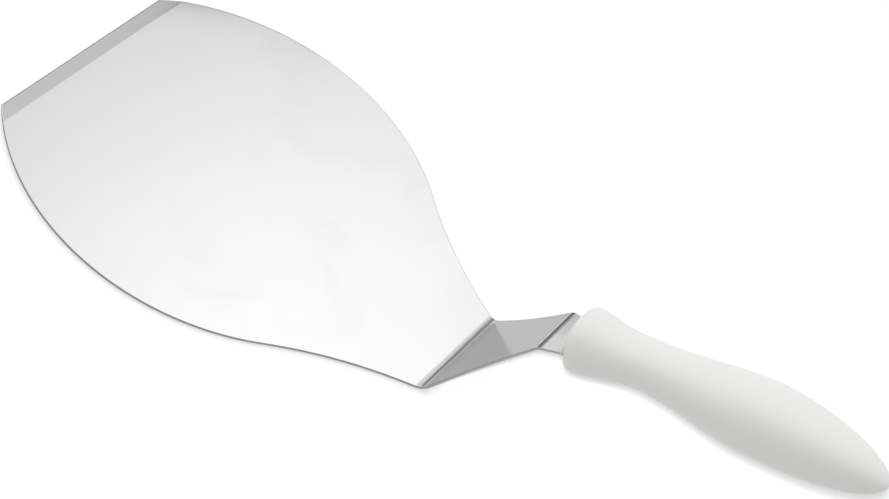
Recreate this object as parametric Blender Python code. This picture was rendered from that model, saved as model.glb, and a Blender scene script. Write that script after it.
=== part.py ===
"""Offset kitchen turner: a one-piece steel blade, and a white handle moulded over its tang.

Metres, +Z up, +X from the front edge towards the handle. The blade lies on Z = 0, and the origin is
under the middle of the turner's length.
"""

import math

import bmesh
import bpy
from mathutils import Matrix
from mathutils import Vector

# Steel blank, laid out flat: distances along it start at the front edge
SHEET = 0.0010
FRONT_TO_WIDEST = 0.0786
WIDEST_TO_NECK = 0.1254
CRANK_LENGTH = 0.0548
TANG_LENGTH = 0.0850
BLADE_WIDTH = 0.1695
SIDE_RADIUS = 0.1074
NECK_WIDTH = 0.0528
NECK_SLOPE = math.radians(21.3)
SHANK_WIDTH = 0.0268
SHOULDER_LENGTH = 0.0300
TANG_WIDTH = 0.0150
TANG_CORNER = 0.0030
EDGE_CHAMFER = 0.00015

# Ground front edge, cut on the upper face only
GROUND_LENGTH = 0.0069
GROUND_EDGE = 0.0003

# The two bends, with radii to the middle of the sheet
CRANK_ANGLE = math.radians(58.4)
HANDLE_ANGLE = math.radians(20.0)
TANG_LIFT = math.radians(5.0)
FIRST_BEND_RADIUS = 0.0062
SECOND_BEND_RADIUS = 0.0045

# Holes in the tang, which the handle's plastic runs through
LOCK_HOLE = 0.0060
LOCK_HOLE_FROM_BEND = 0.0400
LOCK_HOLE_PITCH = 0.0260
LOCK_HOLES = 2

# Handle: distances along its axis start at its front end
TANG_SHOWING = 0.0086
HANDLE_LENGTH = 0.1335
COLLAR_AT = 0.0058
WAIST_AT = 0.0322
SWELL_AT = 0.0813
COLLAR_WALL = 0.0034
WAIST_WALL = 0.0034
SWELL_WIDTH = 0.0310
COLLAR_HEIGHT = 0.0242
WAIST_HEIGHT = 0.0177
SWELL_HEIGHT = 0.0266

# Height of the handle's centre line over the line that leaves the second bend
COLLAR_RISE = 0.0021
WAIST_RISE = 0.0035
SWELL_RISE = 0.0023
BUTT_DROP = 0.0048

# Roundness of the handle: 2 is an ellipse, and more is squarer
SECTION_POWER = 2.4
NOSE_POWER = 3.0
BUTT_POWER = 1.9
DROOP_POWER = 1.3

# How soon the collar narrows, and how soon its centre line rises: below 1 is sooner, above 1 later
COLLAR_FALL_POWER = 0.7
COLLAR_LIFT_POWER = 2.0

# Lip of plastic round the tang, where the mould closes on the steel
LIP_WALL = 0.0006
LIP_HEIGHT = 0.0009

CLEARANCE = 0.0003
OVERRUN = 0.0010

# Fineness of the meshes
ARC_STEP = math.radians(2.5)
BEND_STEPS = 8
NOSE_RINGS = 10
GRIP_RINGS = 12
BUTT_RINGS = 14
RING_POINTS = 44
HOLE_POINTS = 24
SHARP_ANGLE = math.radians(30)

BLADE_LENGTH = FRONT_TO_WIDEST + WIDEST_TO_NECK
SECOND_BEND_AT = BLADE_LENGTH + CRANK_LENGTH
SHOULDER_END = SECOND_BEND_AT + SHOULDER_LENGTH
BLANK_LENGTH = SECOND_BEND_AT + TANG_LENGTH
TANG_ANGLE = HANDLE_ANGLE + TANG_LIFT


def clear_scene():
    for thing in list(bpy.data.objects):
        bpy.data.objects.remove(thing, do_unlink=True)


def finish(name, colour, roughness, metallic):
    """A plain material for one piece."""
    material = bpy.data.materials.new(name)
    material.use_nodes = True
    shader = material.node_tree.nodes["Principled BSDF"]
    shader.inputs["Base Color"].default_value = (*colour, 1.0)
    shader.inputs["Roughness"].default_value = roughness
    shader.inputs["Metallic"].default_value = metallic
    return material


def mesh_object(name, bm):
    """Turn a finished bmesh into an object with smooth round faces and sharp edges."""
    bmesh.ops.recalc_face_normals(bm, faces=bm.faces)
    mesh = bpy.data.meshes.new(name)
    bm.to_mesh(mesh)
    bm.free()
    mesh.shade_smooth()
    mesh.set_sharp_from_angle(angle=SHARP_ANGLE)
    thing = bpy.data.objects.new(name, mesh)
    bpy.context.scene.collection.objects.link(thing)
    return thing


def boolean(thing, other, operation):
    """Keep the other object only as a tool of this one."""
    other.hide_render = True
    other.display_type = "WIRE"
    modifier = thing.modifiers.new(other.name, "BOOLEAN")
    modifier.operation = operation
    modifier.solver = "EXACT"
    modifier.object = other


def skin(bm, rings):
    """Join rings of equally many points by faces, and return the rings' vertices."""
    loops = [[bm.verts.new(point) for point in ring] for ring in rings]
    for near, far in zip(loops, loops[1:]):
        for index in range(len(near)):
            after = (index + 1) % len(near)
            bm.faces.new((near[index], near[after], far[after], far[index]))
    return loops


def close_with_point(bm, loop, point):
    """Close an end of a skin with triangles that meet in one point."""
    tip = bm.verts.new(point)
    for index in range(len(loop)):
        bm.faces.new((loop[index], loop[(index + 1) % len(loop)], tip))


def blank_arcs():
    """The three arcs of the blank's edge: a centre and a radius each, and where the first two meet.

    The side arc bulges out. The neck arc curves the other way, touches the side arc and reaches the
    first bend at the neck's slope. The shank arc goes on from there to the shank's width at the second
    bend.
    """
    side = Vector((FRONT_TO_WIDEST, BLADE_WIDTH / 2 - SIDE_RADIUS))
    neck_point = Vector((BLADE_LENGTH, NECK_WIDTH / 2))
    inward = Vector((math.sin(NECK_SLOPE), math.cos(NECK_SLOPE)))
    reach = neck_point - side
    neck_radius = (reach.length_squared - SIDE_RADIUS**2) / (2 * (SIDE_RADIUS - reach.dot(inward)))
    neck = neck_point + inward * neck_radius
    narrowed = Vector((CRANK_LENGTH, (SHANK_WIDTH - NECK_WIDTH) / 2))
    shank_radius = narrowed.length_squared / (2 * narrowed.dot(inward))
    shank = neck_point + inward * shank_radius
    meeting = side + (neck - side) * SIDE_RADIUS / (SIDE_RADIUS + neck_radius)
    return (side, SIDE_RADIUS), (neck, neck_radius), (shank, shank_radius), meeting.x


def half_width(along, grow=0.0):
    """Half of the blank's width, and so much more on the tang's own outline for a growing shape."""
    (side, _), (neck, neck_radius), (shank, shank_radius), meeting = blank_arcs()
    corner = BLANK_LENGTH - TANG_CORNER
    shoulder = (SHANK_WIDTH - TANG_WIDTH) / 2 / SHOULDER_LENGTH
    if along <= meeting:
        return side.y + math.sqrt(SIDE_RADIUS**2 - (along - side.x) ** 2) + grow
    if along <= BLADE_LENGTH:
        return neck.y - math.sqrt(neck_radius**2 - (along - neck.x) ** 2) + grow
    if along <= SECOND_BEND_AT:
        return shank.y - math.sqrt(shank_radius**2 - (along - shank.x) ** 2) + grow
    if along <= SHOULDER_END:
        return TANG_WIDTH / 2 + (SHOULDER_END - along) * shoulder + grow
    if along <= corner:
        return TANG_WIDTH / 2 + grow
    reach = TANG_CORNER + grow
    return half_width(corner) - TANG_CORNER + math.sqrt(max(reach**2 - (along - corner) ** 2, 0.0))


def path_pieces():
    """The bent sheet's middle line, as pieces: a length, and how far it turns upwards."""
    first = FIRST_BEND_RADIUS * CRANK_ANGLE
    second = SECOND_BEND_RADIUS * (CRANK_ANGLE - TANG_ANGLE)
    return (
        (BLADE_LENGTH - first / 2, 0.0),
        (first, CRANK_ANGLE),
        (CRANK_LENGTH - first / 2 - second / 2, 0.0),
        (second, TANG_ANGLE - CRANK_ANGLE),
        (TANG_LENGTH - second / 2 + OVERRUN, 0.0),
    )


def path_at(along):
    """Where a place of the blank lies after bending: its X, its Z and its slope."""
    x = 0.0
    z = SHEET / 2
    slope = 0.0
    for length, turn in path_pieces():
        step = min(along, length)
        swing = turn * step / length
        chord = step if turn == 0.0 else 2 * length / turn * math.sin(swing / 2)
        x += chord * math.cos(slope + swing / 2)
        z += chord * math.sin(slope + swing / 2)
        slope += swing
        along -= step
        if along <= 0.0:
            break
    return x, z, slope


def frame_at(along, slope=None):
    """Axes on the bent sheet: +X along it, or along a given slope, and +Z up from its face."""
    x, z, own_slope = path_at(along)
    turn = Matrix.Rotation(-(own_slope if slope is None else slope), 4, "Y")
    return Matrix.Translation((x, 0.0, z)) @ turn


def arc_stations(centre, radius, start, end):
    """Places along the blank that divide an arc of its edge into even steps."""
    first = math.asin((start - centre) / radius)
    last = math.asin((end - centre) / radius)
    count = max(2, math.ceil(abs(last - first) / ARC_STEP))
    angles = [first + (last - first) * step / count for step in range(count + 1)]
    return [centre + radius * math.sin(angle) for angle in angles]


def bend_stations(middle, radius, angle):
    """Places through a bend, with one just before it and one just after it."""
    length = radius * angle
    start = middle - length / 2
    inside = [start + length * step / BEND_STEPS for step in range(BEND_STEPS + 1)]
    return [start - SHEET, *inside, start + length + SHEET]


def tang_end_stations(grow):
    corner = BLANK_LENGTH - TANG_CORNER
    reach = TANG_CORNER + grow
    return [corner + reach * math.sin(math.pi / 2 * step / BEND_STEPS) for step in range(BEND_STEPS + 1)]


def blank_stations():
    """All places along the blank where its mesh has a row of points, in order."""
    (side, _), (neck, neck_radius), (shank, shank_radius), meeting = blank_arcs()
    kept = [0.0, GROUND_LENGTH, SHOULDER_END]
    kept += bend_stations(BLADE_LENGTH, FIRST_BEND_RADIUS, CRANK_ANGLE)
    kept += bend_stations(SECOND_BEND_AT, SECOND_BEND_RADIUS, CRANK_ANGLE - TANG_ANGLE)
    kept += tang_end_stations(0.0)
    free = arc_stations(side.x, SIDE_RADIUS, 0.0, meeting)
    free += arc_stations(neck.x, neck_radius, meeting, BLADE_LENGTH)
    free += arc_stations(shank.x, shank_radius, BLADE_LENGTH, SECOND_BEND_AT)
    free = [place for place in free if min(abs(place - other) for other in kept) > SHEET]
    return sorted(kept + free)


def sheet_row(along, grow=0.0):
    """One cross-section of the sheet, with its four corners chamfered, in its bent place."""
    half = half_width(along, grow)
    ground = (SHEET - GROUND_EDGE) * max(0.0, 1 - along / GROUND_LENGTH)
    low = -SHEET / 2 - grow
    high = SHEET / 2 + grow - ground
    corners = ((half, low, -1, 1), (half, high, -1, -1), (-half, high, 1, -1), (-half, low, 1, 1))
    points = []
    for index, (y, z, inward, upward) in enumerate(corners):
        pair = [(y, z + upward * EDGE_CHAMFER), (y + inward * EDGE_CHAMFER, z)]
        points += pair if index % 2 else reversed(pair)
    place = frame_at(along)
    return [place @ Vector((0.0, y, z)) for y, z in points]


def sheet_solid(name, stations, grow=0.0):
    """A solid through cross-sections of the sheet."""
    bm = bmesh.new()
    loops = skin(bm, [sheet_row(along, grow) for along in stations])
    bm.faces.new(loops[0])
    bm.faces.new(loops[-1])
    return mesh_object(name, bm)


def lock_pin(number, diameter):
    """A round pin through the tang, at one of its holes."""
    bm = bmesh.new()
    along = SECOND_BEND_AT + LOCK_HOLE_FROM_BEND + number * LOCK_HOLE_PITCH
    bmesh.ops.create_cone(
        bm,
        cap_ends=True,
        segments=HOLE_POINTS,
        radius1=diameter / 2,
        radius2=diameter / 2,
        depth=SHEET + 2 * OVERRUN,
        matrix=frame_at(along),
    )
    return mesh_object(f"lock_pin_{number}_{'hole' if diameter == LOCK_HOLE else 'plug'}", bm)


def make_blade():
    """The bent sheet, ground at the front and pierced in the tang."""
    blade = sheet_solid("blade", blank_stations())
    for number in range(LOCK_HOLES):
        boolean(blade, lock_pin(number, LOCK_HOLE), "DIFFERENCE")
    blade.data.materials.append(finish("satin_stainless_steel", (0.62, 0.62, 0.61), 0.30, 1.0))
    return blade


def ease(start, end, share):
    """A smooth way from one value to another that starts and ends level."""
    return start + (end - start) * (1 - math.cos(math.pi * share)) / 2


def round_share(share, power):
    """The radius of a rounded end, as a share, from its tip at 0 to its full size at 1."""
    return (1 - (1 - share) ** power) ** (1 / power)


def grip_size(place):
    """The handle at a place along it: half-width, half-height and rise of its centre line."""
    front = SECOND_BEND_AT + TANG_SHOWING
    collar = (half_width(front + COLLAR_AT) + COLLAR_WALL, COLLAR_HEIGHT / 2, COLLAR_RISE)
    waist = (half_width(front + WAIST_AT) + WAIST_WALL, WAIST_HEIGHT / 2, WAIST_RISE)
    swell = (SWELL_WIDTH / 2, SWELL_HEIGHT / 2, SWELL_RISE)
    if place < COLLAR_AT:
        scale = round_share(place / COLLAR_AT, NOSE_POWER)
        return collar[0] * scale, collar[1] * scale, collar[2]
    if place < WAIST_AT:
        share = (place - COLLAR_AT) / (WAIST_AT - COLLAR_AT)
        fall = share**COLLAR_FALL_POWER
        rise = ease(collar[2], waist[2], share**COLLAR_LIFT_POWER)
        return ease(collar[0], waist[0], fall), ease(collar[1], waist[1], fall), rise
    if place < SWELL_AT:
        share = (place - WAIST_AT) / (SWELL_AT - WAIST_AT)
        return tuple(ease(a, b, share) for a, b in zip(waist, swell))
    share = min((place - SWELL_AT) / (HANDLE_LENGTH - SWELL_AT), 1.0)
    scale = round_share(1 - share, BUTT_POWER)
    return swell[0] * scale, swell[1] * scale, swell[2] - BUTT_DROP * share**DROOP_POWER


def grip_places():
    """Places along the handle where its mesh has a ring, crowded towards both rounded ends."""
    quarter = math.pi / 2
    nose = [COLLAR_AT * (1 - math.cos(quarter * step / NOSE_RINGS)) for step in range(1, NOSE_RINGS)]
    places = nose
    for start, end in ((COLLAR_AT, WAIST_AT), (WAIST_AT, SWELL_AT)):
        places += [start + (end - start) * step / GRIP_RINGS for step in range(GRIP_RINGS)]
    butt = HANDLE_LENGTH - SWELL_AT
    places += [SWELL_AT + butt * math.sin(quarter * step / BUTT_RINGS) for step in range(BUTT_RINGS)]
    return places


def bow(angle):
    """Cosine and sine of an angle, pushed out towards a rounded square."""
    share = 2 / SECTION_POWER
    c = math.cos(angle)
    s = math.sin(angle)
    return math.copysign(abs(c) ** share, c), math.copysign(abs(s) ** share, s)


def grip_solid(name, places, grow=0.0):
    """A solid through the handle's oval sections, closed at both ends, and grown all round."""
    axes = frame_at(SECOND_BEND_AT, HANDLE_ANGLE) @ Matrix.Translation((TANG_SHOWING, 0.0, 0.0))
    rings = []
    for place in places:
        wide, high, rise = grip_size(place)
        bows = [bow(2 * math.pi * index / RING_POINTS) for index in range(RING_POINTS)]
        ring = [(place - grow, (wide + grow) * c, (high + grow) * s + rise) for c, s in bows]
        rings.append([axes @ Vector(point) for point in ring])
    bm = bmesh.new()
    loops = skin(bm, rings)
    tail = HANDLE_LENGTH if places[-1] > SWELL_AT else places[-1]
    close_with_point(bm, loops[0], axes @ Vector((-grow, 0.0, COLLAR_RISE)))
    close_with_point(bm, loops[-1], axes @ Vector((tail, 0.0, grip_size(tail)[2])))
    return mesh_object(name, bm)


def lip_solid():
    """A band round the tang that follows the handle's domed front, a little proud of it."""
    start = SECOND_BEND_AT + SECOND_BEND_RADIUS
    end = SECOND_BEND_AT + TANG_SHOWING + COLLAR_AT
    stations = [start + (end - start) * step / BEND_STEPS for step in range(BEND_STEPS + 1)]
    band = sheet_solid("lip_band", stations, LIP_WALL)
    dome = grip_solid("lip_dome", [place for place in grip_places() if place <= COLLAR_AT], LIP_HEIGHT)
    boolean(band, dome, "INTERSECT")
    return band


def tang_pocket():
    """The space that the tang fills in the handle, a clearance larger, with the plugs left standing."""
    start = SECOND_BEND_AT + SECOND_BEND_RADIUS
    stations = [place for place in blank_stations() if start < place < BLANK_LENGTH - TANG_CORNER]
    pocket = sheet_solid("tang_pocket", [start, *stations, *tang_end_stations(CLEARANCE)], CLEARANCE)
    for number in range(LOCK_HOLES):
        boolean(pocket, lock_pin(number, LOCK_HOLE - 2 * CLEARANCE), "DIFFERENCE")
    return pocket


def make_handle():
    """The moulded handle, with its lip, and the tang's space cut out of it."""
    handle = grip_solid("handle", grip_places())
    boolean(handle, lip_solid(), "UNION")
    boolean(handle, tang_pocket(), "DIFFERENCE")
    handle.data.materials.append(finish("moulded_white_polypropylene", (0.80, 0.80, 0.79), 0.42, 0.0))
    return handle


def place_over_origin(pieces):
    """Hang the pieces on one empty, moved so that the origin is under the middle of their length."""
    graph = bpy.context.evaluated_depsgraph_get()
    ends = []
    for piece in pieces:
        evaluated = piece.evaluated_get(graph)
        mesh = evaluated.to_mesh()
        ends += [vertex.co.x for vertex in mesh.vertices]
        evaluated.to_mesh_clear()
    turner = bpy.data.objects.new("turner", None)
    bpy.context.scene.collection.objects.link(turner)
    turner.location.x = -(min(ends) + max(ends)) / 2
    for thing in bpy.data.objects:
        if thing is not turner:
            thing.parent = turner
    bpy.context.view_layer.update()


clear_scene()
place_over_origin([make_blade(), make_handle()])
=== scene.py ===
"""Looks of the offset kitchen turner: its steel blade and its white handle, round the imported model.

Metres, +Z up, +X from the front edge towards the handle. The blade lies on the floor at Z = 0.
"""

import math

import bmesh
import bpy
from mathutils import Matrix, Vector


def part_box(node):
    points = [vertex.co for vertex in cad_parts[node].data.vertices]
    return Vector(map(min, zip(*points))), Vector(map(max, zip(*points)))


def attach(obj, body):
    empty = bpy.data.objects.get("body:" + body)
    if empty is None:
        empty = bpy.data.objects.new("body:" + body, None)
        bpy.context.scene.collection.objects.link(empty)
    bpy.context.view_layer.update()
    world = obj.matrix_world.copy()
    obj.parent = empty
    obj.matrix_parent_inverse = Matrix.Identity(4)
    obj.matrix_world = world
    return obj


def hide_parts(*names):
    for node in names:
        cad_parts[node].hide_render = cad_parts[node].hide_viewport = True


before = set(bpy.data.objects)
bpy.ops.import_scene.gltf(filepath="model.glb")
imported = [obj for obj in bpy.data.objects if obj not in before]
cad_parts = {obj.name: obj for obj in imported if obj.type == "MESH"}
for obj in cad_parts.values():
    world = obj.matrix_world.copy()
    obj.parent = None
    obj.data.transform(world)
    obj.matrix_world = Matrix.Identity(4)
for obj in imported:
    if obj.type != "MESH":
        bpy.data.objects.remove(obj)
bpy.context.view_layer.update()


# The blade is one piece of stainless sheet, 1 mm thick: the round-sided paddle, the neck, the cranked
# shank and the tang. It is blanked with a press tool, bent twice, and its front edge is ground thin on
# the upper face. It lies on the floor, and its tang runs on inside the handle.
SHEET = 0.0010
FRONT_TO_WIDEST = 0.0786
WIDEST_TO_NECK = 0.1254
CRANK_LENGTH = 0.0548
TANG_LENGTH = 0.0850
BLADE_WIDTH = 0.1695
SIDE_RADIUS = 0.1074
NECK_WIDTH = 0.0528
NECK_SLOPE = math.radians(21.3)
SHANK_WIDTH = 0.0268
SHOULDER_LENGTH = 0.0300
TANG_WIDTH = 0.0150
TANG_CORNER = 0.0030
GROUND_LENGTH = 0.0069
GROUND_EDGE = 0.0003
CRANK_ANGLE = math.radians(58.4)
HANDLE_ANGLE = math.radians(20.0)
TANG_ANGLE = HANDLE_ANGLE + math.radians(5.0)
FIRST_BEND_RADIUS = 0.0062
SECOND_BEND_RADIUS = 0.0045
LOCK_HOLE = 0.0060
LOCK_HOLE_FROM_BEND = 0.0400
LOCK_HOLE_PITCH = 0.0260
LOCK_HOLES = 2
LOCK_PIN_LENGTH = 3 * SHEET
LOCK_PIN_POINTS = 48

BLADE_LENGTH = FRONT_TO_WIDEST + WIDEST_TO_NECK
SECOND_BEND_AT = BLADE_LENGTH + CRANK_LENGTH
SHOULDER_END = SECOND_BEND_AT + SHOULDER_LENGTH
BLANK_LENGTH = SECOND_BEND_AT + TANG_LENGTH
FRONT_EDGE_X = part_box("blade")[0][0]

# The press tool leaves the sheet's edges slightly round
EDGE_ROUND = 0.00015
EDGE_ROUND_STEPS = 3
# A thin dull line on the outside of the second bend is painted dark: painted shade
BEND_LINE_SHADE_BACK = 0.00016
BEND_LINE_SHADE_WIDTH = 0.0007
# Columns close beside the edges and rows close beside the bends keep the flats flat in the shading
GUARD = 0.0004
COLUMNS = 14
ARC_STEP = math.radians(1.2)
BEND_STEPS = 16
SHARP_DEGREES = 40


def blank_arcs():
    """The three arcs of the blank's edge, each as a centre and a radius, and where the first two meet."""
    side = Vector((FRONT_TO_WIDEST, BLADE_WIDTH / 2 - SIDE_RADIUS))
    neck_point = Vector((BLADE_LENGTH, NECK_WIDTH / 2))
    inward = Vector((math.sin(NECK_SLOPE), math.cos(NECK_SLOPE)))
    reach = neck_point - side
    neck_radius = (reach.length_squared - SIDE_RADIUS**2) / (2 * (SIDE_RADIUS - reach.dot(inward)))
    neck = neck_point + inward * neck_radius
    narrowed = Vector((CRANK_LENGTH, (SHANK_WIDTH - NECK_WIDTH) / 2))
    shank_radius = narrowed.length_squared / (2 * narrowed.dot(inward))
    shank = neck_point + inward * shank_radius
    meeting = side + (neck - side) * SIDE_RADIUS / (SIDE_RADIUS + neck_radius)
    return (side, SIDE_RADIUS), (neck, neck_radius), (shank, shank_radius), meeting.x


def half_width(along, grow=0.0):
    """Half of the blank's width at a distance from the front edge."""
    (side, _), (neck, neck_radius), (shank, shank_radius), meeting = blank_arcs()
    corner = BLANK_LENGTH - TANG_CORNER
    shoulder = (SHANK_WIDTH - TANG_WIDTH) / 2 / SHOULDER_LENGTH
    if along <= meeting:
        return side.y + math.sqrt(SIDE_RADIUS**2 - (along - side.x) ** 2) + grow
    if along <= BLADE_LENGTH:
        return neck.y - math.sqrt(neck_radius**2 - (along - neck.x) ** 2) + grow
    if along <= SECOND_BEND_AT:
        return shank.y - math.sqrt(shank_radius**2 - (along - shank.x) ** 2) + grow
    if along <= SHOULDER_END:
        return TANG_WIDTH / 2 + (SHOULDER_END - along) * shoulder + grow
    if along <= corner:
        return TANG_WIDTH / 2 + grow
    reach = TANG_CORNER + grow
    return half_width(corner) - TANG_CORNER + math.sqrt(max(reach**2 - (along - corner) ** 2, 0.0))


def frame_at(along, slope=None):
    """Axes on the bent sheet's middle: +X along it, or along a given slope, and +Z up from its face."""
    first = FIRST_BEND_RADIUS * CRANK_ANGLE
    second = SECOND_BEND_RADIUS * (CRANK_ANGLE - TANG_ANGLE)
    pieces = (
        (BLADE_LENGTH - first / 2, 0.0),
        (first, CRANK_ANGLE),
        (CRANK_LENGTH - first / 2 - second / 2, 0.0),
        (second, TANG_ANGLE - CRANK_ANGLE),
        (TANG_LENGTH, 0.0),
    )
    x, z, own_slope = FRONT_EDGE_X, SHEET / 2, 0.0
    for length, turn in pieces:
        step = min(along, length)
        swing = turn * step / length
        chord = step if turn == 0.0 else 2 * length / turn * math.sin(swing / 2)
        x += chord * math.cos(own_slope + swing / 2)
        z += chord * math.sin(own_slope + swing / 2)
        own_slope += swing
        along -= step
        if along <= 0.0:
            break
    turned = Matrix.Rotation(-(own_slope if slope is None else slope), 4, "Y")
    return Matrix.Translation((x, 0.0, z)) @ turned


def bend_stations(middle, radius, angle):
    """Rows through one bend, with a guard row on the flat before and after it."""
    start = middle - radius * angle / 2
    inside = [start + radius * angle * step / BEND_STEPS for step in range(BEND_STEPS + 1)]
    return [start - GUARD, *inside, inside[-1] + GUARD]


def arc_stations(centre, radius, start, end):
    """Rows along one arc of the blank's edge, at even angles."""
    first = math.asin((start - centre) / radius)
    last = math.asin((end - centre) / radius)
    count = math.ceil(abs(last - first) / ARC_STEP)
    return [centre + radius * math.sin(first + (last - first) * step / count) for step in range(count + 1)]


def tang_end_stations(grow=0.0):
    """Rows round the tang's rounded end, crowded towards its tip."""
    corner, reach = BLANK_LENGTH - TANG_CORNER, TANG_CORNER + grow
    return [corner + reach * math.sin(math.pi / 2 * step / BEND_STEPS) for step in range(BEND_STEPS + 1)]


def blank_stations():
    """Distances along the blank where its mesh has a row, in order."""
    (side, _), (neck, neck_radius), (shank, shank_radius), meeting = blank_arcs()
    kept = [0.0, GUARD, GROUND_LENGTH, GROUND_LENGTH + GUARD, SHOULDER_END]
    kept += bend_stations(BLADE_LENGTH, FIRST_BEND_RADIUS, CRANK_ANGLE)
    kept += bend_stations(SECOND_BEND_AT, SECOND_BEND_RADIUS, CRANK_ANGLE - TANG_ANGLE)
    kept += tang_end_stations()
    free = arc_stations(side.x, SIDE_RADIUS, 0.0, meeting)
    free += arc_stations(neck.x, neck_radius, meeting, BLADE_LENGTH)
    free += arc_stations(shank.x, shank_radius, BLADE_LENGTH, SECOND_BEND_AT)
    return sorted(kept + [place for place in free if min(abs(place - other) for other in kept) > SHEET])


def sheet_row(along, grow=0.0):
    """One cross-section of the bent sheet: across its upper face, round one edge, back under, and up."""
    half = half_width(along, grow)
    ground = (SHEET - GROUND_EDGE) * max(0.0, 1 - along / GROUND_LENGTH)
    low, high = -SHEET / 2 - grow, SHEET / 2 + grow - ground
    edge = min(EDGE_ROUND, (high - low) / 3)
    flat = max(half - edge - GUARD, 0.0)
    columns = [flat * (2 * step / COLUMNS - 1) for step in range(COLUMNS + 1)]
    turns = [math.pi / 2 * step / EDGE_ROUND_STEPS for step in range(EDGE_ROUND_STEPS + 1)]
    upper = [(y, high) for y in columns]
    side = [(half - edge + edge * math.sin(turn), high - edge + edge * math.cos(turn)) for turn in turns]
    side += [(half - edge + edge * math.cos(turn), low + edge - edge * math.sin(turn)) for turn in turns]
    lower = [(y, low) for y in reversed(columns)]
    other = [(-y, z) for y, z in reversed(side)]
    place = frame_at(along)
    return [place @ Vector((0.0, y, z)) for y, z in upper + side + lower + other]


def skin(bm, rings):
    """Join rings of equally many points by faces, and return the rings' vertices."""
    loops = [[bm.verts.new(point) for point in ring] for ring in rings]
    for near, far in zip(loops, loops[1:]):
        for index in range(len(near)):
            after = (index + 1) % len(near)
            bm.faces.new((near[index], near[after], far[after], far[index]))
    return loops


def mesh_piece(name, bm, sharp_degrees=SHARP_DEGREES):
    """Turn a finished bmesh into an object with smooth round faces and sharp edges."""
    bmesh.ops.recalc_face_normals(bm, faces=bm.faces)
    mesh = bpy.data.meshes.new(name)
    bm.to_mesh(mesh)
    bm.free()
    mesh.shade_smooth()
    mesh.set_sharp_from_angle(angle=math.radians(sharp_degrees))
    piece = bpy.data.objects.new(name, mesh)
    bpy.context.scene.collection.objects.link(piece)
    return piece


def cut(piece, tool):
    """Take a tool's space out of a piece for good, and delete the tool."""
    modifier = piece.modifiers.new("cut", "BOOLEAN")
    modifier.operation, modifier.solver, modifier.object = "DIFFERENCE", "EXACT", tool
    graph = bpy.context.evaluated_depsgraph_get()
    cut_mesh = bpy.data.meshes.new_from_object(piece.evaluated_get(graph))
    piece.modifiers.clear()
    piece.data = cut_mesh
    bpy.data.objects.remove(tool, do_unlink=True)


def lock_pin(number, diameter):
    """A round pin through the tang, at one of its two holes."""
    bm = bmesh.new()
    place = frame_at(SECOND_BEND_AT + LOCK_HOLE_FROM_BEND + number * LOCK_HOLE_PITCH)
    bmesh.ops.create_cone(
        bm, cap_ends=True, segments=LOCK_PIN_POINTS, depth=LOCK_PIN_LENGTH,
        radius1=diameter / 2, radius2=diameter / 2, matrix=place,
    )
    return mesh_piece(f"lock_pin_{number}", bm)


stations = blank_stations()
bm = bmesh.new()
blank_place = bm.verts.layers.float_vector.new("blank_place")
rows = skin(bm, [sheet_row(along) for along in stations])
bm.faces.new(rows[0])
bm.faces.new(rows[-1])
for along, row in zip(stations, rows):
    for vertex in row:
        vertex[blank_place] = (along, vertex.co.y, 0.0)

# Finishes of the sheet, in the order of the blade's materials
FLAT, GROUND, SHEARED, NEAR_CORNER_PAINTED_SHADE, FAR_CORNER_PAINTED_HIGHLIGHT, BEND_LINE_PAINTED_SHADE = range(6)

# A row's points run across the upper face, round the left edge (+Y), back under, and up the right edge,
# which is the nearer one in the picture
flat_points = COLUMNS + 1
corner_points = EDGE_ROUND_STEPS + 1
round_points = 2 * corner_points
left_round = range(flat_points, flat_points + round_points)
right_round = range(2 * flat_points + round_points, 2 * (flat_points + round_points))
ground_rows = rows[: stations.index(GROUND_LENGTH) + 1]
bend_line_shade_rows = [
    row for along, row in zip(stations, rows)
    if abs(along - SECOND_BEND_AT + BEND_LINE_SHADE_BACK) < BEND_LINE_SHADE_WIDTH / 2
]
# Each finish and the points that it covers, the first that fits holding: the second bend's line and the
# tip of the front edge, both painted shade, the ground face, the right edge's upper corner, painted shade,
# the left one's, a painted highlight, and both whole edges
patches = (
    (BEND_LINE_PAINTED_SHADE, set(vertex for row in bend_line_shade_rows for vertex in row[:flat_points])),
    (NEAR_CORNER_PAINTED_SHADE, set(vertex for row in rows[:2] for vertex in row[:flat_points])),
    (GROUND, set(vertex for row in ground_rows for vertex in row[:flat_points])),
    (NEAR_CORNER_PAINTED_SHADE, set(row[column] for row in rows for column in right_round[corner_points:])),
    (FAR_CORNER_PAINTED_HIGHLIGHT, set(row[column] for row in rows for column in left_round[:corner_points])),
    (SHEARED, set(row[column] for row in rows for column in [*left_round, *right_round])),
)
for face in bm.faces:
    covered = [finish for finish, points in patches if points.issuperset(face.verts)]
    is_end = len(face.verts) > 4
    face.material_index = covered[0] if covered else SHEARED if is_end else FLAT

# The ground face meets the flat one in a crisp ridge
ridge = set(ground_rows[-1][:flat_points])
for edge in bm.edges:
    if ridge.issuperset(edge.verts):
        edge.smooth = False
blade = mesh_piece("blade_sheet", bm)


def colour(code):
    """A linear colour from an sRGB hex value."""
    shares = [int(code[start : start + 2], 16) / 255 for start in (1, 3, 5)]
    return (*[s / 12.92 if s <= 0.04045 else ((s + 0.055) / 1.055) ** 2.4 for s in shares], 1.0)


def node(tree, kind, links=(), sockets=(), **settings):
    """Add a node with its settings, its socket values, and its links: a socket and where it comes from."""
    added = tree.nodes.new(kind)
    for name, value in settings.items():
        setattr(added, name, value)
    for name, value in dict(sockets).items():
        added.inputs[name].default_value = value
    for name, source in dict(links).items():
        tree.links.new(source, added.inputs[name])
    return added


def blank_material(name):
    """A new material and its empty node tree."""
    material = bpy.data.materials.new(name)
    material.use_nodes = True
    material.node_tree.nodes.clear()
    return material, material.node_tree


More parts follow.
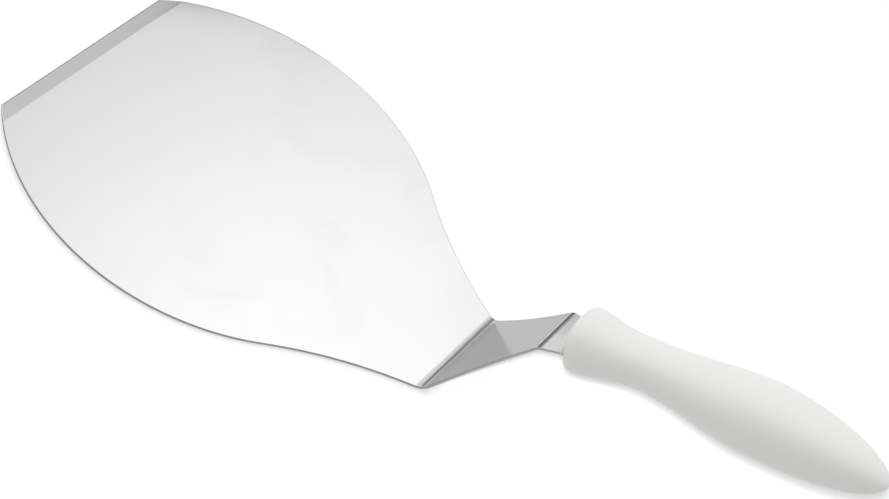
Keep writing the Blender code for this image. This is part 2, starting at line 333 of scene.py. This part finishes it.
# Stainless sheet, satin ground along its length. The eye gets a clear but soft mirror with a fine grain
# that runs to the handle, and a few wiped marks that only change its sharpness.
WIPE_MM = 38.0
WIPE_STOPS = ((0.46, 0.0), (0.70, 1.0))
GRAIN_DARK = 0.97
GRAIN_LIGHT = 1.03
GRAIN_DEPTH = 0.00001
STEEL_TINT = (0.60, 0.60, 0.60, 1.0)  # the crank, seen at a low angle, reflects less than a clean metal
STEEL_FINISHES = (
    # name, colour, grain across and along in mm, lowest and highest roughness, strength of the relief
    # Real lines on the faces are about 0.05 mm apart, drawn coarser so that they show
    ("satin_stainless_sheet", "#CFCFCF", 0.30, 24.0, 0.10, 0.17, 0.10),
    # The ground face has short coarse scratches straight across the edge, so it looks duller and darker
    ("ground_stainless_edge", "#BABABA", 0.22, 3.0, 0.22, 0.34, 0.30),
    # The sheared edges are torn steel, dull and darker than the faces
    ("sheared_stainless_edge", "#A0A0A0", 1.0, 0.4, 0.34, 0.48, 0.40),
    # The right edge's upper corner, the near one, and the tip of the front edge are painted darkest:
    # painted shade
    ("stainless_corner_painted_shade", "#808080", 1.0, 0.4, 0.30, 0.40, 0.20),
    # The left edge's upper corner, the far one, is painted lighter: a painted highlight
    ("stainless_corner_painted_highlight", "#E4E4E4", 1.0, 0.4, 0.24, 0.32, 0.10),
    # The second bend's line is dull and painted dark: painted shade
    ("stainless_bend_line_painted_shade", "#5C5C5C", 1.0, 0.4, 0.24, 0.32, 0.10),
)


def satin_steel(name, steel, grain_across_mm, grain_along_mm, rough_low, rough_high, bump):
    """Ground stainless steel: a grain of long thin streaks, and wide soft wiped marks."""
    material, tree = blank_material(name)
    place = node(tree, "ShaderNodeAttribute", attribute_name="blank_place")
    stretched = node(
        tree, "ShaderNodeMapping", {"Vector": place.outputs["Vector"]},
        {"Scale": (1000 / grain_along_mm, 1000 / grain_across_mm, 1.0)},
    )
    grain = node(
        tree, "ShaderNodeTexNoise", {"Vector": stretched.outputs["Vector"]},
        {"Scale": 1.0, "Detail": 3.0, "Roughness": 0.6}, noise_dimensions="2D",
    )
    wiped = node(
        tree, "ShaderNodeTexNoise", {"Vector": place.outputs["Vector"]},
        {"Scale": 1000 / WIPE_MM, "Detail": 4.0, "Roughness": 0.55, "Distortion": 0.6},
        noise_dimensions="2D",
    )
    marks = node(tree, "ShaderNodeValToRGB", {"Fac": wiped.outputs["Fac"]})
    for element, (stop, value) in zip(marks.color_ramp.elements, WIPE_STOPS):
        element.position, element.color = stop, (value, value, value, 1.0)
    sharpness = node(
        tree, "ShaderNodeMath",
        {0: grain.outputs["Fac"], 1: marks.outputs["Color"]}, operation="ADD",
    )
    rough = node(
        tree, "ShaderNodeMapRange", {"Value": sharpness.outputs[0]},
        {"From Min": 0.2, "From Max": 1.6, "To Min": rough_low, "To Max": rough_high},
    )
    tone = node(
        tree, "ShaderNodeMix",
        {"Factor": grain.outputs["Fac"]}, data_type="RGBA", blend_type="MIX",
    )
    middle = colour(steel)[:3]
    tone.inputs["A"].default_value = (*[GRAIN_DARK * share for share in middle], 1.0)
    tone.inputs["B"].default_value = (*[min(GRAIN_LIGHT * share, 1.0) for share in middle], 1.0)
    lines = node(
        tree, "ShaderNodeBump", {"Height": grain.outputs["Fac"]},
        {"Strength": bump, "Distance": GRAIN_DEPTH},
    )
    shader = node(
        tree, "ShaderNodeBsdfPrincipled",
        {
            "Base Color": tone.outputs["Result"], "Roughness": rough.outputs["Result"],
            "Normal": lines.outputs["Normal"],
        },
        {"Metallic": 1.0, "Specular Tint": STEEL_TINT},
    )
    node(tree, "ShaderNodeOutputMaterial", {"Surface": shader.outputs["BSDF"]})
    return material


for finish in STEEL_FINISHES:
    blade.data.materials.append(satin_steel(*finish))
for number in range(LOCK_HOLES):
    cut(blade, lock_pin(number, LOCK_HOLE))
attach(blade, "root")
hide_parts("blade")


# The handle is white polypropylene, moulded over the tang: a domed collar, a waist, and a long swell
# that droops a little to a rounded butt. The tang's space is cut out of it, with the two plugs left in.
TANG_SHOWING = 0.0086
HANDLE_LENGTH = 0.13347  # a hair short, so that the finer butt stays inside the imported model's box
COLLAR_AT = 0.0058
WAIST_AT = 0.0322
SWELL_AT = 0.0813
COLLAR_WALL = 0.0034
WAIST_WALL = 0.0034
SWELL_WIDTH = 0.0310
COLLAR_HEIGHT = 0.0242
WAIST_HEIGHT = 0.0177
SWELL_HEIGHT = 0.0266
COLLAR_RISE = 0.0021
WAIST_RISE = 0.0035
SWELL_RISE = 0.0023
BUTT_DROP = 0.0048
SECTION_POWER = 2.4
NOSE_POWER = 3.0
BUTT_POWER = 1.9
DROOP_POWER = 1.3
COLLAR_FALL_POWER = 0.7
COLLAR_LIFT_POWER = 2.0
CLEARANCE = 0.0003
RING_POINTS = 112
NOSE_RINGS = 26
GRIP_RINGS = 34
BUTT_RINGS = 40


def ease(start, end, share):
    """A smooth way from one value to another that starts and ends level."""
    return start + (end - start) * (1 - math.cos(math.pi * share)) / 2


def round_share(share, power):
    """The radius of a rounded end, as a share, from its tip at 0 to its full size at 1."""
    return (1 - (1 - share) ** power) ** (1 / power)


def grip_size(place):
    """The handle at a place along it: half-width, half-height and rise of its centre line."""
    front = SECOND_BEND_AT + TANG_SHOWING
    collar = (half_width(front + COLLAR_AT) + COLLAR_WALL, COLLAR_HEIGHT / 2, COLLAR_RISE)
    waist = (half_width(front + WAIST_AT) + WAIST_WALL, WAIST_HEIGHT / 2, WAIST_RISE)
    swell = (SWELL_WIDTH / 2, SWELL_HEIGHT / 2, SWELL_RISE)
    if place < COLLAR_AT:
        scale = round_share(place / COLLAR_AT, NOSE_POWER)
        return collar[0] * scale, collar[1] * scale, collar[2]
    if place < WAIST_AT:
        share = (place - COLLAR_AT) / (WAIST_AT - COLLAR_AT)
        fall = share**COLLAR_FALL_POWER
        rise = ease(collar[2], waist[2], share**COLLAR_LIFT_POWER)
        return ease(collar[0], waist[0], fall), ease(collar[1], waist[1], fall), rise
    if place < SWELL_AT:
        share = (place - WAIST_AT) / (SWELL_AT - WAIST_AT)
        return tuple(ease(a, b, share) for a, b in zip(waist, swell))
    share = min((place - SWELL_AT) / (HANDLE_LENGTH - SWELL_AT), 1.0)
    scale = round_share(1 - share, BUTT_POWER)
    return swell[0] * scale, swell[1] * scale, swell[2] - BUTT_DROP * share**DROOP_POWER


def bow(angle):
    """Cosine and sine of an angle, pushed out towards a rounded square."""
    c, s = math.cos(angle), math.sin(angle)
    power = 2 / SECTION_POWER
    return math.copysign(abs(c) ** power, c), math.copysign(abs(s) ** power, s)


def grip_places():
    """Places along the handle where its mesh has a ring, crowded towards both rounded ends."""
    quarter = math.pi / 2
    places = [COLLAR_AT * (1 - math.cos(quarter * step / NOSE_RINGS)) for step in range(1, NOSE_RINGS)]
    for start, end in ((COLLAR_AT, WAIST_AT), (WAIST_AT, SWELL_AT)):
        places += [start + (end - start) * step / GRIP_RINGS for step in range(GRIP_RINGS)]
    butt = HANDLE_LENGTH - SWELL_AT
    return places + [SWELL_AT + butt * math.sin(quarter * step / BUTT_RINGS) for step in range(BUTT_RINGS)]


handle_axes = frame_at(SECOND_BEND_AT, HANDLE_ANGLE) @ Matrix.Translation((TANG_SHOWING, 0.0, 0.0))
bows = [bow(2 * math.pi * index / RING_POINTS) for index in range(RING_POINTS)]
rings = []
for place in grip_places():
    wide, high, rise = grip_size(place)
    rings.append([handle_axes @ Vector((place, wide * c, high * s + rise)) for c, s in bows])
bm = bmesh.new()
loops = skin(bm, rings)
nose_tip = Vector((0.0, 0.0, COLLAR_RISE))
butt_tip = Vector((HANDLE_LENGTH, 0.0, grip_size(HANDLE_LENGTH)[2]))
for loop, tip in ((loops[0], nose_tip), (loops[-1], butt_tip)):
    middle = bm.verts.new(handle_axes @ tip)
    for index in range(RING_POINTS):
        bm.faces.new((loop[index], loop[(index + 1) % RING_POINTS], middle))
handle = mesh_piece("handle_grip", bm)

start = SECOND_BEND_AT + SECOND_BEND_RADIUS
straight = [place for place in stations if start < place < BLANK_LENGTH - TANG_CORNER]
pocket_stations = [start, *straight, *tang_end_stations(CLEARANCE)]
bm = bmesh.new()
pocket_rows = skin(bm, [sheet_row(along, CLEARANCE) for along in pocket_stations])
bm.faces.new(pocket_rows[0])
bm.faces.new(pocket_rows[-1])
pocket = mesh_piece("tang_pocket", bm)
for number in range(LOCK_HOLES):
    cut(pocket, lock_pin(number, LOCK_HOLE - 2 * CLEARANCE))
cut(handle, pocket)

# Polypropylene from a fine-sparked mould. The eye gets a soft wide sheen over a clean cool white, with a
# texture as fine as an eggshell and slight handling marks on the grip.
POLYPROPYLENE = "#ECECEA"
HANDLED_POLYPROPYLENE = "#F0F0EE"
SPARK_MM = 0.35  # a real sparked mould leaves pits of about 0.1 mm, drawn coarser so that they show
HANDLING_MM = 26.0
PIT_DEPTH = 0.00002
PLASTIC_ROUGH_LOW = 0.40
PLASTIC_ROUGH_HIGH = 0.50
POLYPROPYLENE_IOR = 1.49


def moulded_polypropylene(name, plain, handled):
    """Sparked plastic between two tones, plain and lightly handled."""
    material, tree = blank_material(name)
    place = node(tree, "ShaderNodeTexCoord")
    spark = node(
        tree, "ShaderNodeTexNoise", {"Vector": place.outputs["Object"]},
        {"Scale": 1000 / SPARK_MM, "Detail": 2.0, "Roughness": 0.5},
    )
    handling = node(
        tree, "ShaderNodeTexNoise", {"Vector": place.outputs["Object"]},
        {"Scale": 1000 / HANDLING_MM, "Detail": 5.0, "Roughness": 0.6, "Distortion": 0.3},
    )
    rough = node(
        tree, "ShaderNodeMapRange", {"Value": handling.outputs["Fac"]},
        {"From Min": 0.3, "From Max": 0.7, "To Min": PLASTIC_ROUGH_LOW, "To Max": PLASTIC_ROUGH_HIGH},
    )
    tone = node(tree, "ShaderNodeMix", {"Factor": handling.outputs["Fac"]}, data_type="RGBA")
    tone.inputs["A"].default_value = colour(plain)
    tone.inputs["B"].default_value = colour(handled)
    pits = node(
        tree, "ShaderNodeBump", {"Height": spark.outputs["Fac"]},
        {"Strength": 0.25, "Distance": PIT_DEPTH},
    )
    shader = node(
        tree, "ShaderNodeBsdfPrincipled",
        {
            "Base Color": tone.outputs["Result"], "Roughness": rough.outputs["Result"],
            "Normal": pits.outputs["Normal"],
        },
        {"IOR": POLYPROPYLENE_IOR},
    )
    node(tree, "ShaderNodeOutputMaterial", {"Surface": shader.outputs["BSDF"]})
    return material


handle.data.materials.clear()
handle.data.materials.append(
    moulded_polypropylene("moulded_polypropylene", POLYPROPYLENE, HANDLED_POLYPROPYLENE)
)
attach(handle, "root")
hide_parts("handle")


# The lip is a low bead of the handle's own plastic round the tang, where the mould closes on the steel.
# It follows the domed front of the collar and hides the joint between the plastic and the steel.
LIP_WALL = 0.0006
LIP_HEIGHT = 0.0013
LIP_CROWN = 1.8  # how much further it reaches over the middle of the steel than at its edges
LIP_GROOVE = 0.00035
LIP_GROOVE_WALL = 0.00012
LIP_SUNK = 0.0008
LIP_FIT = 0.00004
LIP_ROUND = 0.00022
LIP_ROUND_STEPS = 4
LIP_SIDE_POINTS = 28
LIP_END_POINTS = 10
LIP_SHARP_DEGREES = 50
MOUTH_TRIES = 12
MERGE_WITHIN = 0.000001
# The bead's plastic is painted greyer than the handle: painted shade where it sits between the collar and
# the steel
LIP_PAINTED_SHADE_GREY = "#DADAD8"
HANDLED_LIP_PAINTED_SHADE_GREY = "#DEDEDC"


def dome_front(y, z):
    """How far behind the handle's tip its domed front lies, at a place across it."""
    wide = half_width(SECOND_BEND_AT + TANG_SHOWING + COLLAR_AT) + COLLAR_WALL
    reach = abs(y / wide) ** SECTION_POWER + abs((z - COLLAR_RISE) / (COLLAR_HEIGHT / 2)) ** SECTION_POWER
    scale = min(reach ** (1 / SECTION_POWER), 1.0)
    return COLLAR_AT * (1 - (1 - scale**NOSE_POWER) ** (1 / NOSE_POWER))


def mouth_at(turn, grow):
    """Where a line along the tang's surface, so far out from it, meets the domed front."""
    along = SECOND_BEND_AT + TANG_SHOWING
    for _ in range(MOUTH_TRIES):
        y, z = turn(half_width(along), grow)
        local = handle_axes.inverted() @ frame_at(along) @ Vector((0.0, y, z))
        along += dome_front(local.y, local.z) - local.x
    return along, y, z


def tang_round():
    """Ways round the tang's cross-section, each as a function of its half-width and a distance out."""
    ways = []
    for side in (1, -1):
        for step in range(LIP_SIDE_POINTS):
            share = side * (1 - 2 * (step + 0.5) / LIP_SIDE_POINTS)
            ways.append(
                lambda half, grow, share=share, side=side: (share * half, side * (SHEET / 2 + grow))
            )
        for step in range(LIP_END_POINTS + 1):
            angle = math.pi * step / LIP_END_POINTS
            ways.append(
                lambda half, grow, angle=angle, side=side: (
                    -side * (half - SHEET / 2 + (SHEET / 2 + grow) * math.sin(angle)),
                    side * (SHEET / 2 + grow) * math.cos(angle),
                )
            )
    return ways


# The bead's own section: up its inner side, over the rounded rim, and back down into the groove
quarter_turns = [math.pi / 2 * step / LIP_ROUND_STEPS for step in range(LIP_ROUND_STEPS + 1)]
falls = [(LIP_ROUND * (1 - math.cos(turn)), LIP_ROUND * (1 - math.sin(turn))) for turn in quarter_turns]
profile = [(LIP_FIT, LIP_SUNK)]
profile += [(LIP_FIT + slow, -LIP_HEIGHT + quick) for slow, quick in falls]
profile += [(LIP_WALL - quick, -LIP_HEIGHT + slow) for slow, quick in falls]
profile += [(LIP_WALL - slow, -LIP_GROOVE - quick) for slow, quick in falls]
profile += [(LIP_GROOVE_WALL, -LIP_GROOVE), (LIP_GROOVE_WALL, LIP_SUNK)]
rings = []
for way in tang_round():
    ring = []
    along, y, z = mouth_at(way, LIP_WALL)
    crown = 1 + LIP_CROWN * max(0.0, 1 - (y / half_width(along)) ** 2)
    for out, back in profile:
        y, z = way(half_width(along), out)
        # Only the part in front of the mouth is stretched by the crown
        ring.append(frame_at(along + min(back, back * crown)) @ Vector((0.0, y, z)))
    rings.append(ring)
bm = bmesh.new()
loops = skin(bm, rings + [rings[0]])
bmesh.ops.remove_doubles(bm, verts=bm.verts, dist=MERGE_WITHIN)
lip = mesh_piece("handle_lip", bm, LIP_SHARP_DEGREES)
lip.data.materials.append(
    moulded_polypropylene("lip_polypropylene_painted_shade", LIP_PAINTED_SHADE_GREY, HANDLED_LIP_PAINTED_SHADE_GREY)
)
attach(lip, "root")


# The floor is a sheet of white studio paper, which runs on far past the turner. Seen by the camera or in
# the steel it is plain white with the turner's shadows, which are darkest close along the near rims.
FLOOR_SIZE = 5.0
FLOOR_SQUARES = 8
FLOOR_GAP = 0.00005
PAPER = "#898989"  # the tone that sends light up to the turner
WHITE_SHARE = 0.75  # how much of the seen white glows by itself; the rest is lit and takes the shadows
WHITE_LEVEL = 0.585
CONTACT_REACH = 0.0045
CONTACT_DARKEST = 0.40
# The contact shade looks from the near side towards +Y, so only the rims on that side get it
CONTACT_TILT = (-0.15, 0.95, 0.27)
CONTACT_SAMPLES = 4

bm = bmesh.new()
bmesh.ops.create_grid(bm, x_segments=FLOOR_SQUARES, y_segments=FLOOR_SQUARES, size=FLOOR_SIZE / 2)
bmesh.ops.translate(bm, verts=bm.verts, vec=(0.0, 0.0, -FLOOR_GAP))
floor = mesh_piece("paper_floor", bm)
paper, tree = blank_material("white_studio_paper")
rays = node(tree, "ShaderNodeLightPath")
straight = node(
    tree, "ShaderNodeMath",
    {0: rays.outputs["Is Camera Ray"], 1: rays.outputs["Is Glossy Ray"]}, operation="MAXIMUM",
)
seen = node(
    tree, "ShaderNodeMath",
    {0: straight.outputs[0], 1: rays.outputs["Is Transmission Ray"]}, operation="MAXIMUM",
)
tilt = node(tree, "ShaderNodeCombineXYZ", sockets=dict(zip("XYZ", CONTACT_TILT)))
contact = node(
    tree, "ShaderNodeAmbientOcclusion", {"Normal": tilt.outputs[0]}, {"Distance": CONTACT_REACH},
    samples=CONTACT_SAMPLES,
)
open_share = node(
    tree, "ShaderNodeMapRange", {"Value": contact.outputs["AO"]}, {"To Min": CONTACT_DARKEST}
)
bounce = node(tree, "ShaderNodeBsdfDiffuse", sockets={"Color": colour(PAPER)})
plain = node(tree, "ShaderNodeBsdfDiffuse", {"Color": open_share.outputs[0]})
white = node(tree, "ShaderNodeEmission", {"Color": open_share.outputs[0]}, {"Strength": WHITE_LEVEL})
shadowed = node(
    tree, "ShaderNodeMixShader",
    {1: plain.outputs[0], 2: white.outputs[0]}, {"Fac": WHITE_SHARE},
)
either = node(
    tree, "ShaderNodeMixShader",
    {"Fac": seen.outputs[0], 1: bounce.outputs[0], 2: shadowed.outputs[0]},
)
node(tree, "ShaderNodeOutputMaterial", {"Surface": either.outputs[0]})
floor.data.materials.append(paper)


# The studio light is a plain pale tent with soft areas that are brighter or darker than it. The window
# high behind the turner gives the steel its gradient, and the others give the handle its shade.
TENT_LEVEL = 0.905
# What the steel has mirrored twice, the blade seen in the crank, was matched by a brighter tent
SECOND_MIRROR_LIFT = 0.28
SECOND_MIRROR_DEPTH = 1.5
WINDOWS = (
    # azimuth from +Y towards +X, elevation, inner and outer angle in degrees, and added level
    (-15.5, 50.9, 3.1, 13.5, 0.605),  # the window high behind the turner
    (0.0, 90.0, 10.0, 45.0, 0.45),  # a glow overhead
    (165.0, 5.0, 30.0, 95.0, -0.30),  # darker low on the near side
    (-135.0, 35.0, 10.0, 50.0, -0.38),  # darker on the near left
    (-90.0, 20.0, 20.0, 80.0, 0.32),  # a wide glow on the left
    (90.0, 20.0, 20.0, 80.0, -0.16),  # a little darker on the right
)

world = bpy.data.worlds.new("studio_tent")
bpy.context.scene.world = world
world.use_nodes = True
tree = world.node_tree
tree.nodes.clear()
direction = node(tree, "ShaderNodeTexCoord")
level = None
for azimuth, elevation, inner_angle, outer_angle, added in WINDOWS:
    a, e = math.radians(azimuth), math.radians(elevation)
    middle = (math.sin(a) * math.cos(e), math.cos(a) * math.cos(e), math.sin(e))
    towards = node(
        tree, "ShaderNodeVectorMath",
        {0: direction.outputs["Generated"]}, {1: middle}, operation="DOT_PRODUCT",
    )
    away = node(tree, "ShaderNodeMath", {0: towards.outputs["Value"]}, operation="ARCCOSINE")
    glow = node(
        tree, "ShaderNodeMapRange", {"Value": away.outputs[0]},
        {
            "From Min": math.radians(outer_angle), "From Max": math.radians(inner_angle),
            "To Min": 0.0, "To Max": added,
        },
        interpolation_type="SMOOTHSTEP",
    )
    # The first area is added to the tent's own level, and each other one to the sum so far
    below = {} if level is None else {1: level.outputs[0]}
    level = node(
        tree, "ShaderNodeMath",
        {0: glow.outputs["Result"], **below}, {1: TENT_LEVEL}, operation="ADD",
    )
rays = node(tree, "ShaderNodeLightPath")
mirrored_twice = node(
    tree, "ShaderNodeMath",
    {0: rays.outputs["Glossy Depth"]}, {1: SECOND_MIRROR_DEPTH}, operation="GREATER_THAN",
)
lift = node(
    tree, "ShaderNodeMath",
    {0: mirrored_twice.outputs[0]}, {1: SECOND_MIRROR_LIFT, 2: 1.0}, operation="MULTIPLY_ADD",
)
level = node(tree, "ShaderNodeMath", {0: level.outputs[0], 1: lift.outputs[0]}, operation="MULTIPLY")
tent = node(
    tree, "ShaderNodeBackground",
    {"Strength": level.outputs[0]}, {"Color": (1.0, 1.0, 1.0, 1.0)},
)
node(tree, "ShaderNodeOutputWorld", {"Surface": tent.outputs[0]})


# Five cards behind the turner to the left, out of the picture, stand for the darker room there. Only the
# steel's first mirror image shows them: they darken the two bends and shade the tang, and the one that
# fades towards its top shades it softly. What the steel mirrors twice leaves them out.
CARD_SQUARES = 4
CARDS = (
    # name, degrees from +Y to the left, distance from the first bend, left and right side, bottom and top,
    # grey, and how solid the card is at its bottom and at its top
    ("low_card", 45.0, 0.36, -0.060, 0.034, 0.000, 0.055, "#F0F0F0", 1.0, 1.0),
    ("grey_card", 45.0, 0.36, -0.060, 0.034, 0.055, 0.178, "#CACACA", 1.0, 1.0),
    ("dark_card", 45.0, 0.36, 0.035, 0.075, 0.000, 0.100, "#343434", 1.0, 1.0),
    ("high_card", 45.0, 0.36, 0.034, 0.060, 0.140, 0.195, "#DADADA", 1.0, 1.0),
    ("faded_card", 36.0, 1.00, -0.100, 0.070, 0.490, 0.750, "#C8C8C8", 0.68, 0.0),
)

first_bend_x = frame_at(BLADE_LENGTH).translation.x
for name, azimuth, distance, left, right, bottom, top, grey, solid_low, solid_high in CARDS:
    bm = bmesh.new()
    bmesh.ops.create_grid(bm, x_segments=CARD_SQUARES, y_segments=CARD_SQUARES, size=0.5)
    bmesh.ops.scale(bm, verts=bm.verts, vec=(right - left, top - bottom, 1.0))
    card = mesh_piece(name, bm)
    card.matrix_world = (
        Matrix.Translation((first_bend_x, 0.0, 0.0))
        @ Matrix.Rotation(math.radians(azimuth), 4, "Z")
        @ Matrix.Translation(((left + right) / 2, distance, (bottom + top) / 2))
        @ Matrix.Rotation(math.pi / 2, 4, "X")
    )
    paint, tree = blank_material(name)
    rays = node(tree, "ShaderNodeLightPath")
    mirrored_twice = node(
        tree, "ShaderNodeMath",
        {0: rays.outputs["Glossy Depth"]}, {1: SECOND_MIRROR_DEPTH}, operation="GREATER_THAN",
    )
    place = node(tree, "ShaderNodeTexCoord")
    place = node(tree, "ShaderNodeSeparateXYZ", {"Vector": place.outputs["Object"]})
    faded = node(
        tree, "ShaderNodeMapRange", {"Value": place.outputs["Y"]},
        {
            "From Min": (bottom - top) / 2, "From Max": (top - bottom) / 2,
            "To Min": 1 - solid_low, "To Max": 1 - solid_high,
        },
    )
    unseen = node(
        tree, "ShaderNodeMath",
        {0: mirrored_twice.outputs[0], 1: faded.outputs["Result"]}, operation="MAXIMUM",
    )
    dull = node(tree, "ShaderNodeBsdfDiffuse", sockets={"Color": colour(grey)})
    clear = node(tree, "ShaderNodeBsdfTransparent")
    either = node(
        tree, "ShaderNodeMixShader",
        {"Fac": unseen.outputs[0], 1: dull.outputs[0], 2: clear.outputs[0]},
    )
    node(tree, "ShaderNodeOutputMaterial", {"Surface": either.outputs[0]})
    card.data.materials.append(paint)
    card.visible_camera = False
    card.visible_diffuse = False
    card.visible_shadow = False


# The camera stands on the near right, a metre off and about 46 degrees up, with a long lens, and is
# rolled so that the handle points down to the right corner.
IMAGE_WIDTH_PX = 889
FOCAL_PX = 2400
SENSOR_MM = 36.0
CAMERA_AZIMUTH = math.radians(15.083)
CAMERA_ELEVATION = math.radians(45.856)
CAMERA_ROLL = math.radians(27.82)
CAMERA_DISTANCE = 0.99926
CLIP_START = 0.05
LOOKED_AT = Vector((FRONT_EDGE_X + 0.16777, 0.03999, 0.0010))

back = Vector((
    math.sin(CAMERA_AZIMUTH) * math.cos(CAMERA_ELEVATION),
    -math.cos(CAMERA_AZIMUTH) * math.cos(CAMERA_ELEVATION),
    math.sin(CAMERA_ELEVATION),
))
level_right = (-back).cross(Vector((0.0, 0.0, 1.0))).normalized()
level_up = level_right.cross(-back)
right = math.cos(CAMERA_ROLL) * level_right + math.sin(CAMERA_ROLL) * level_up
up = -math.sin(CAMERA_ROLL) * level_right + math.cos(CAMERA_ROLL) * level_up
lens = bpy.data.cameras.new("camera")
lens.sensor_width = SENSOR_MM
lens.lens = SENSOR_MM * FOCAL_PX / IMAGE_WIDTH_PX
lens.clip_start = CLIP_START
camera = bpy.data.objects.new("camera", lens)
bpy.context.scene.collection.objects.link(camera)
camera_axes = Matrix((right, up, back)).transposed().to_4x4()
camera.matrix_world = Matrix.Translation(LOOKED_AT + CAMERA_DISTANCE * back) @ camera_axes
bpy.context.scene.camera = camera
bpy.context.scene.view_settings.view_transform = "Standard"

# A small soft lamp close over the lens lights the paper alone, evenly far and near, so the turner's shadow
# in its light hugs the lower side.
LAMP_OVER_LENS = 0.021
LAMP_SIZE = 0.042
LAMP_POWER = 22.5

lamp_light = bpy.data.lights.new("lens_lamp", "AREA")
lamp_light.shape = "DISK"
lamp_light.size = LAMP_SIZE
lamp_light.energy = LAMP_POWER
lamp_light.use_nodes = True
tree = lamp_light.node_tree
tree.nodes.clear()
even = node(tree, "ShaderNodeLightFalloff", sockets={"Strength": 1.0})
glow = node(tree, "ShaderNodeEmission", {"Strength": even.outputs["Constant"]})
node(tree, "ShaderNodeOutputLight", {"Surface": glow.outputs[0]})
lamp = bpy.data.objects.new("lens_lamp", lamp_light)
bpy.context.scene.collection.objects.link(lamp)
lamp.matrix_world = Matrix.Translation(LAMP_OVER_LENS * up) @ camera.matrix_world
lit_by_lamp = bpy.data.collections.new("lit_by_lamp")
lit_by_lamp.objects.link(floor)
lamp.light_linking.receiver_collection = lit_by_lamp
